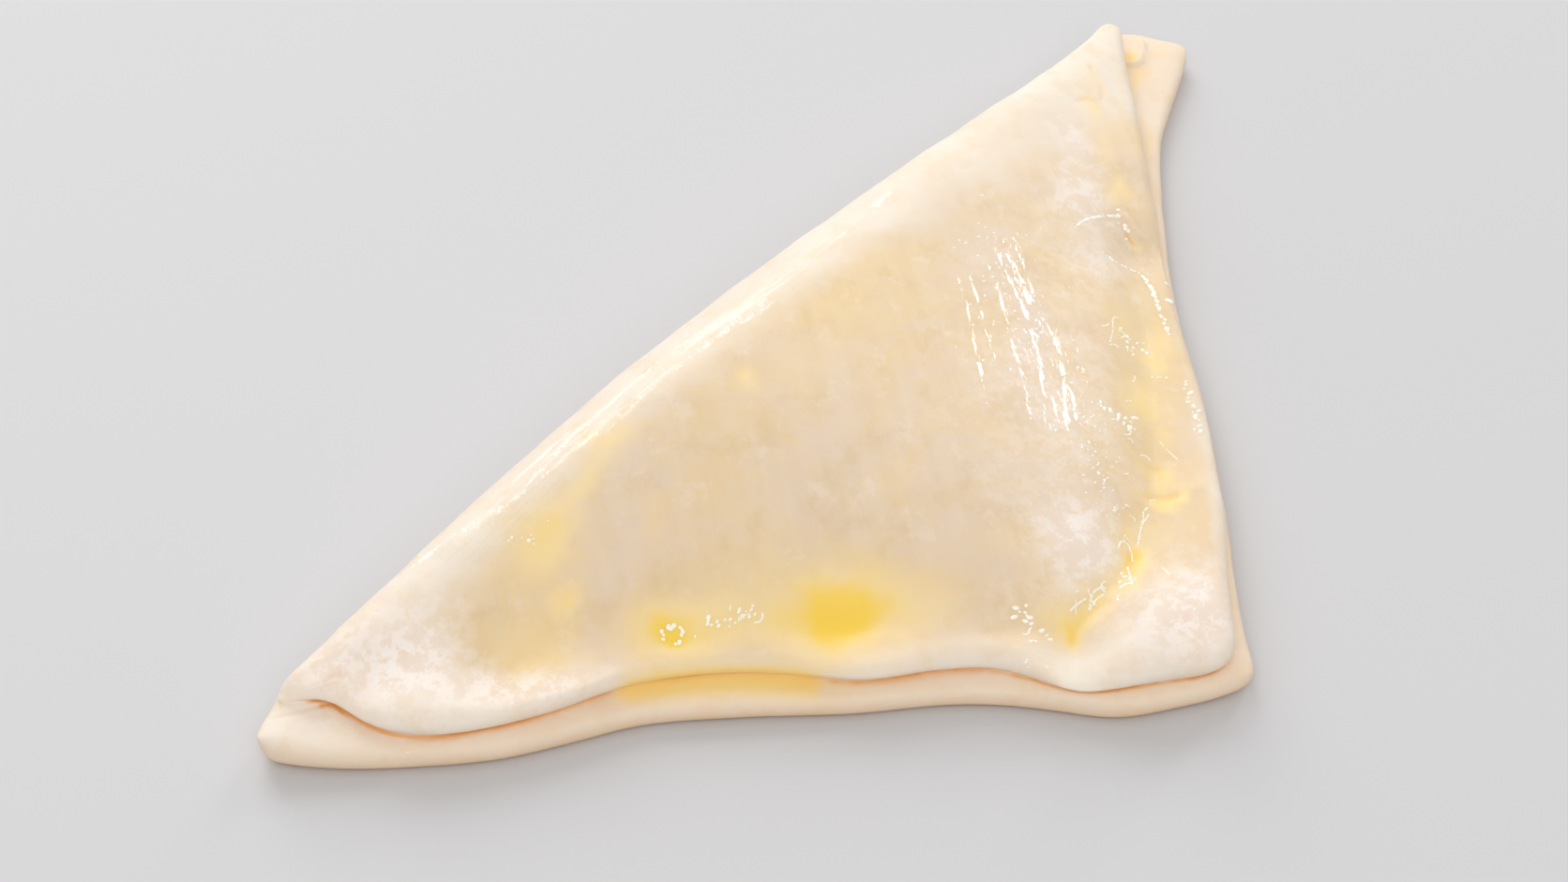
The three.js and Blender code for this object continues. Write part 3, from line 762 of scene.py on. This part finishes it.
# drops and threads of egg wash on the dough: scattered about a path, or strung along it
drops = {
    "seed": 7,
    "segments": 8,
    "rings": 4,
    "wide": 1.3,  # a drop is the cap of a wider, flatter ball, sunk into the dough
    "high": 0.54,
    "sunk": 0.345,
    "flattest": 0.3,  # drops lie only where the dough faces up at least this much
    "lowest": 5.2,
    "scattered": [
        {"path": [(43.3, 13.0), (43.9, 10.9), (46.6, 8.7), (44.7, 5.4), (40.1, 0.0), (38.0, -2.7)],
         "count": 34, "spread": 0.10, "radius": (0.20, 0.42), "length": 1.5},
        # white drops on the right rim's edge: a painted highlight there
        {"path": [(47.6, 4.4), (45.6, 2.6), (43.7, 1.1)],
         "count": 6, "spread": 0.15, "radius": (0.3, 0.5), "length": 2.0},
        {"path": [(52.2, 16.5), (51.0, 15.4), (50.8, 13.4)],
         "count": 7, "spread": 0.5, "radius": (0.18, 0.42), "length": 1.6},
        {"path": [(32.7, 1.1), (30.4, -1.5), (32.0, -1.7), (33.6, -2.4)],
         "count": 12, "spread": 0.5, "radius": (0.18, 0.42), "length": 1.3},
        {"path": [(29.1, -5.8), (31.3, -7.6)],
         "count": 6, "spread": 0.15, "radius": (0.14, 0.24), "length": 1.3},
        {"path": [(31.8, -10.0), (29.2, -12.4), (27.9, -14.8), (24.8, -17.4)],
         "count": 22, "spread": 0.35, "radius": (0.12, 0.30), "length": 2.2},
        {"path": [(17.9, -5.3), (17.8, -7.3), (17.9, -9.3), (20.8, -9.8)],
         "count": 20, "spread": 0.4, "radius": (0.12, 0.34), "length": 2.2},
        {"path": [(18.0, -10.0), (17.9, -11.4)],
         "count": 6, "spread": 0.4, "radius": (0.14, 0.34), "length": 2.0},
        {"path": [(14.0, -6.0), (8.6, -12.4), (5.5, -16.4), (5.1, -19.4)],
         "count": 70, "spread": 1.3, "radius": (0.09, 0.18), "length": 2.0},
        {"path": [(-2.6, -24.7), (-4.3, -26.7)],
         "count": 7, "spread": 0.3, "radius": (0.14, 0.30), "length": 2.0},
        {"path": [(-16.7, -18.1), (-16.6, -20.1), (-16.9, -21.1)],
         "count": 10, "spread": 0.5, "radius": (0.12, 0.32), "length": 2.0},
        {"path": [(-16.9, -22.9), (-17.1, -24.3)],
         "count": 6, "spread": 0.4, "radius": (0.12, 0.30), "length": 2.0},
        {"path": [(-49.4, 12.6), (-48.6, 13.6), (-47.2, 13.2), (-46.6, 12.0), (-47.4, 11.0),
                  (-48.8, 11.2)],
         "count": 11, "spread": 0.12, "radius": (0.18, 0.38), "length": 1.6},
        {"path": [(-45.4, 10.4), (-42.4, 8.4), (-39.0, 5.4)],
         "count": 18, "spread": 0.6, "radius": (0.12, 0.28), "length": 1.8},
        {"path": [(-52.7, 33.8), (-50.7, 32.3)],
         "count": 9, "spread": 1.0, "radius": (0.10, 0.2), "length": 1.8},
        {"path": [(33.0, 23.0), (24.0, 14.0), (16.0, 4.0), (9.0, -6.0)],
         "count": 80, "spread": 3.2, "radius": (0.09, 0.20), "length": 2.0},
    ],
    "strung": [
        {"path": [(43.0, 17.6), (45.5, 18.0), (49.3, 17.5), (52.2, 16.5)],
         "radius": 0.20, "gaps": 0.25},
        {"path": [(-0.1, -22.5), (1.2, -21.9), (2.1, -22.3), (1.4, -23.5), (0.2, -24.7)],
         "radius": 0.11, "gaps": 0.08},
        {"path": [(-1.0, -24.7), (-1.7, -25.6), (-3.1, -26.7)], "radius": 0.13, "gaps": 0.1},
        {"path": [(9.6, -20.2), (8.1, -20.3), (7.8, -21.0), (5.5, -22.0), (2.7, -23.6)],
         "radius": 0.11, "gaps": 0.12},
        {"path": [(8.9, -20.9), (7.4, -21.4), (6.6, -21.2)], "radius": 0.10, "gaps": 0.1},
        {"path": [(20.6, -13.8), (20.1, -15.5), (19.5, -17.8)], "radius": 0.09, "gaps": 0.3},
        {"path": [(-5.9, -24.7), (-7.4, -24.2), (-8.8, -24.6), (-9.9, -25.4)],
         "radius": 0.11, "gaps": 0.1},
        {"path": [(-6.6, -25.4), (-8.0, -25.0), (-9.2, -25.3)], "radius": 0.09, "gaps": 0.1},
        {"path": [(-9.1, -24.2), (-10.8, -23.9), (-12.1, -23.9)], "radius": 0.10, "gaps": 0.1},
        {"path": [(-10.4, -23.4), (-11.8, -24.6)], "radius": 0.08, "gaps": 0.1},
        {"path": [(-4.8, -26.3), (-3.6, -26.5), (-3.3, -27.4)], "radius": 0.11, "gaps": 0.1},
        {"path": [(0.9, -28.7), (0.6, -29.8), (0.0, -30.6)], "radius": 0.10, "gaps": 0.2},
        {"path": [(33.0, 3.4), (31.2, 1.9), (28.7, 0.6)], "radius": 0.11, "gaps": 0.3},
    ],
    "loops": [
        {"path": [(24.0, -8.0), (12.0, -15.0), (2.0, -21.5)],
         "count": 12, "spread": 1.4, "bend": 0.6, "radius": 0.08},
        {"path": [(-2.0, -26.0), (-12.0, -25.0)],
         "count": 9, "spread": 1.2, "bend": 0.55, "radius": 0.08},
        {"path": [(-17.0, -20.0), (-22.0, -27.0)],
         "count": 6, "spread": 0.9, "bend": 0.5, "radius": 0.09},
        {"path": [(-45.0, 10.6), (-39.5, 6.0)],
         "count": 6, "spread": 0.7, "bend": 0.5, "radius": 0.09},
        {"path": [(40.0, 8.0), (28.0, -2.0)],
         "count": 6, "spread": 2.0, "bend": 0.6, "radius": 0.08},
    ],
}


# corners of a path's steps, as distances from its start
def stationsOf(path):
    steps = np.linalg.norm(np.diff(path, axis=0), axis=1)
    return np.concatenate([[0], np.cumsum(steps)])


# place on a path, and the way that it heads there
def placeOn(path, share):
    stations = stationsOf(path)
    middle = share * stations[-1]
    behind, ahead = [
        np.array([np.interp(middle + step, stations, path[:, axis]) for axis in (0, 1)])
        for step in (-0.25, 0.25)
    ]
    heading = math.atan2(ahead[1] - behind[1], ahead[0] - behind[0])
    return 0.5 * (behind + ahead), heading


def makeDrops(pastry):
    draw = random.Random(drops["seed"])
    tree = BVHTree.FromObject(pastry, bpy.context.evaluated_depsgraph_get())
    form = bmesh.new()
    wide, high = drops["wide"] * mm, drops["high"] * mm

    def addDrop(x, y, heading, length, radius):
        spot, normal, *_ = tree.ray_cast(Vector((x * mm, y * mm, 1)), Vector((0, 0, -1)))
        if spot is None or normal.z < drops["flattest"] or spot.z < drops["lowest"] * mm:
            return
        lay = normal.to_track_quat("Z", "X").to_matrix().to_4x4()
        size = Matrix.Diagonal((wide * length, wide * radius, high * radius, 1))
        spot = spot - normal * drops["sunk"] * radius * mm
        bmesh.ops.create_uvsphere(
            form, u_segments=drops["segments"], v_segments=drops["rings"], radius=1,
            matrix=Matrix.Translation(spot) @ lay @ Matrix.Rotation(heading, 4, "Z") @ size,
        )

    def string(path, radius, gaps):
        count = max(2, round(stationsOf(path)[-1] / (1.3 * radius)))
        for i in range(count):
            if draw.random() < gaps:
                continue
            (x, y), heading = placeOn(path, (i + 0.5) / count)
            addDrop(x, y, heading, 1.7 * radius, radius * draw.uniform(0.7, 1.15))

    for row in drops["scattered"]:
        path = curved(row["path"], 3)
        for i in range(row["count"]):
            (x, y), heading = placeOn(path, (i + draw.uniform(0.2, 0.8)) / row["count"])
            radius = draw.uniform(*row["radius"])
            x += draw.gauss(0, row["spread"])
            y += draw.gauss(0, row["spread"])
            heading += draw.gauss(0, 0.25)
            addDrop(x, y, heading, radius * draw.uniform(1, row["length"]), radius)
    for row in drops["strung"]:
        string(curved(row["path"], 3), row["radius"], row["gaps"])
    for row in drops["loops"]:
        path = curved(row["path"], 3)
        for _ in range(row["count"]):
            x, y = placeOn(path, draw.random())[0]
            middle = np.array([x + draw.gauss(0, row["spread"]), y + draw.gauss(0, row["spread"])])
            start = draw.uniform(0, 2 * math.pi)
            turns = start + np.linspace(0, draw.uniform(1.2, 3.6), 9)
            bend = row["bend"] * draw.uniform(0.5, 1.2)
            loop = middle + bend * np.stack([1.4 * np.cos(turns), np.sin(turns)], 1)
            string(loop, row["radius"] * draw.uniform(0.8, 1.3), 0.1)
    mesh = bpy.data.meshes.new("eggDrops")
    form.to_mesh(mesh)
    form.free()
    print("egg drops:", len(mesh.polygons), "faces")
    return linked("eggDrops", mesh)


# the drops are beads of egg wash, but their near-white colour is a painted glint that stands for
# their sparkle
dropLook = {
    "paintedGlintWhite": (255, 251, 240),
    "cream": (255, 245, 222),
    "roughness": (0.18, 0.30),
    "refraction": 1.9,
}


def dropMaterial():
    recipe = Recipe("eggWashPaintedGlint")
    tone = recipe.spread(recipe.cloud(60, 2), 0.35, 0.65)
    recipe.shade({
        "Base Color": recipe.blend(tone, colour(dropLook["paintedGlintWhite"]), colour(dropLook["cream"])),
        "Roughness": recipe.spread(tone, 0, 1, *dropLook["roughness"]),
        "IOR": dropLook["refraction"],
    })
    return recipe.material


doughLook = {
    "cream": (244, 233, 218),
    "creamDark": (242, 227, 208),
    "buttery": (238, 217, 188),  # faint patches in the bare dough
    "paintedShade": (237, 205, 168),  # painted shade of dough that little light reaches
    "washed": (229, 207, 181),
    "washedYellow": (232, 206, 164),
    "washedDark": (220, 192, 146),
    "washedPale": (238, 220, 198),
    "dryAndHighlight": (236, 214, 197),
    "flour": (252, 243, 236),
    "yolk": (255, 213, 84),
    # painted shade of creases, the seam and the foot
    "paintedCreaseShade": (237, 172, 74),
    "roughness": (0.62, 0.36),  # of bare dough and of egg yolk
    "brushTurn": 53,  # the way that the brush went over the dough, in degrees
    "foldTurn": -2,
    "marksFrom": (2.36, 2.44),  # wetness at which a brush mark starts to shine, and fully does
}


# bare dough, the film of egg wash over it, dry flour, pale patches that paint a highlight, yellow
# egg, and the painted shade of creases, seam, foot and hollows
def doughColour(recipe, wash, yolk):
    tones = {name: colour(doughLook[name]) for name in (
        "cream", "creamDark", "buttery", "paintedShade", "washed", "washedYellow", "washedDark",
        "washedPale", "dryAndHighlight", "flour", "yolk", "paintedCreaseShade",
    )}
    broad = recipe.spread(recipe.cloud(70, 3, 0.6), 0.38, 0.62)
    patches = recipe.spread(recipe.cloud(210, 3, 0.6), 0.50, 0.66, 0.0, 0.45)
    base = recipe.blend(broad, tones["cream"], tones["creamDark"])
    base = recipe.blend(patches, base, tones["buttery"])
    # painted shade of dough that little light reaches
    base = recipe.blend(recipe.attribute("paintedShade"), base, tones["paintedShade"])

    yellowed = recipe.spread(recipe.cloud(48, 4, 0.65, warp=0.8), 0.36, 0.64)
    darker = recipe.spread(recipe.cloud(170, 4, 0.65), 0.50, 0.68, 0.0, 0.45)
    paler = recipe.spread(recipe.cloud(260, 4, 0.7), 0.55, 0.68, 0.0, 0.5)
    film = recipe.blend(yellowed, tones["washed"], tones["washedYellow"])
    film = recipe.blend(darker, film, tones["washedDark"])
    film = recipe.blend(paler, film, tones["washedPale"])
    streaky = recipe.grained(doughLook["brushTurn"], (0.030, 0.0022, 0.02))
    streaks = recipe.cloud(1, 3, 0.6, streaky)
    amount = recipe.calculate("MULTIPLY", wash, recipe.spread(streaks, 0.3, 0.7, 0.86, 1.0))
    amount = recipe.calculate("MULTIPLY", amount, recipe.spread(yolk, 0.0, 0.7, 1.0, 0.0))
    base = recipe.blend(amount, base, film)

    dryAndHighlight = recipe.attribute("dryAndHighlight")
    flour = recipe.spread(recipe.cloud(380, 5, 0.75), 0.44, 0.58)
    floury = recipe.calculate("MULTIPLY", dryAndHighlight, recipe.spread(flour, 0, 1, 0.0, 0.75))
    # pale dough where it is dry, and the painted highlight at the left tip
    base = recipe.blend(recipe.spread(dryAndHighlight, 0, 1, 0, 0.6), base, tones["dryAndHighlight"])
    base = recipe.blend(floury, base, tones["flour"])
    base = recipe.blend(yolk, base, tones["yolk"])
    # painted shade of creases, the seam and the foot
    return recipe.blend(recipe.attribute("paintedCreaseShade"), base, tones["paintedCreaseShade"])


# broken wet lines that the brush left, fine ridges along the fold, and a trace of gloss
def wetGloss(recipe, wash):
    turn = doughLook["brushTurn"]
    ragged = recipe.cloud(1, 4, 0.7, recipe.grained(turn, (0.0026, 0.00034, 0.003)))
    holes = recipe.cloud(1, 2, 0.6, recipe.grained(turn, (0.0009, 0.00022, 0.001)))
    mark = recipe.calculate("MULTIPLY_ADD", ragged, 2.2, recipe.attribute("wet"))
    mark = recipe.calculate("MULTIPLY_ADD", holes, 1.4, mark)
    mark = recipe.spread(mark, *doughLook["marksFrom"])
    ridge = recipe.cloud(1, 3, 0.65, recipe.grained(doughLook["foldTurn"], (0.020, 0.0006, 0.0012)))
    ridge = recipe.spread(ridge, 0.50, 0.58, 0.05, 0.6)
    ridge = recipe.calculate("MULTIPLY", recipe.attribute("shine"), ridge)
    gloss = recipe.calculate("MAXIMUM", mark, ridge)
    return recipe.calculate("MAXIMUM", gloss, recipe.calculate("MULTIPLY", wash, 0.03))


def doughMaterial():
    recipe = Recipe("rawDough")
    wash = recipe.attribute("wash")
    yolk = recipe.attribute("yolk")
    lumps = recipe.relief(recipe.cloud(330, 3, 0.6), 0.16 * mm, 0.7)
    recipe.shade({
        "Base Color": doughColour(recipe, wash, yolk),
        "Roughness": recipe.spread(yolk, 0, 1, *doughLook["roughness"]),
        "IOR": 1.4,
        "Subsurface Weight": 0.30,
        "Subsurface Radius": (1.0, 0.55, 0.28),
        "Subsurface Scale": 2.0 * mm,
        "Normal": recipe.relief(recipe.cloud(1100, 3, 0.65), 0.05 * mm, 0.6, lumps),
        "Coat Weight": wetGloss(recipe, wash),
        "Coat Roughness": 0.08,
        "Coat IOR": 1.7,
        "Coat Normal": recipe.relief(recipe.cloud(600, 1), 0.10 * mm, 0.6),
    })
    return recipe.material


view = {
    "lens": 100.0,
    "sensor": 36.0,
    "distance": 0.590,
    "azimuth": -50.0,
    "elevation": 45.0,
    "aim": (-0.0060, 0.0290, 0.0),
}


# unit vector from the object towards a place in the camera's own terms: azimuth 0 is behind
# the object, as the camera sees it, and positive to its right
def direction(azimuth, elevation):
    turn = math.radians(view["azimuth"])
    ahead = Vector((-math.sin(turn), math.cos(turn), 0))
    right = Vector((math.cos(turn), math.sin(turn), 0))
    angle = math.radians(azimuth)
    level = ahead * math.cos(angle) + right * math.sin(angle)
    rise = math.radians(elevation)
    return level * math.cos(rise) + Vector((0, 0, 1)) * math.sin(rise)


def makeCamera():
    camera = linked("camera", bpy.data.cameras.new("camera"))
    camera.data.lens = view["lens"]
    camera.data.sensor_width = view["sensor"]
    camera.data.clip_start = 0.01
    back = direction(180, view["elevation"])
    camera.location = Vector(view["aim"]) + back * view["distance"]
    camera.rotation_euler = (-back).to_track_quat("-Z", "Y").to_euler()
    bpy.context.scene.camera = camera


lights = [
    {"name": "window", "azimuth": -22, "elevation": 32, "distance": 1.2,
     "size": (0.7, 1.1), "power": 7.3},
    {"name": "glint", "azimuth": 30, "elevation": 25, "distance": 1.6,
     "size": (0.28, 0.80), "power": 4.6},
    {"name": "fill", "azimuth": 180, "elevation": 50, "distance": 1.6,
     "size": (1.4, 1.0), "power": 9.2},
]
skyStrength = 0.55


def makeLights():
    for setting in lights:
        lamp = bpy.data.lights.new(setting["name"], "AREA")
        lamp.shape = "RECTANGLE"
        lamp.size, lamp.size_y = setting["size"]
        lamp.energy = setting["power"]
        light = linked(setting["name"], lamp)
        towards = direction(setting["azimuth"], setting["elevation"])
        light.location = towards * setting["distance"]
        light.rotation_euler = towards.to_track_quat("Z", "Y").to_euler()
    world = bpy.data.worlds.new("studio")
    world.use_nodes = True
    background = world.node_tree.nodes["Background"]
    background.inputs["Color"].default_value = (1, 1, 1, 1)
    background.inputs["Strength"].default_value = skyStrength
    bpy.context.scene.world = world
    bpy.context.scene.view_settings.view_transform = "Standard"


floorLook = {"size": 3.0, "grey": (206, 205, 206), "roughness": 0.6}


def makeFloor():
    form = bmesh.new()
    bmesh.ops.create_grid(form, x_segments=1, y_segments=1, size=floorLook["size"])
    mesh = bpy.data.meshes.new("floor")
    form.to_mesh(mesh)
    form.free()
    recipe = Recipe("paleFloor")
    recipe.shade({"Base Color": colour(floorLook["grey"]), "Roughness": floorLook["roughness"]})
    mesh.materials.append(recipe.material)
    floor = linked("floor", mesh)


def finishPiece(piece, material):
    piece.data.materials.append(material)
    for polygon in piece.data.polygons:
        polygon.use_smooth = True
    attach(piece, "root")


makeCamera()
makeLights()
makeFloor()
pastry = makeDough()
eggDrops = makeDrops(pastry)
finishPiece(pastry, doughMaterial())
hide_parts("pastry")
finishPiece(eggDrops, dropMaterial())
print("finishes made")
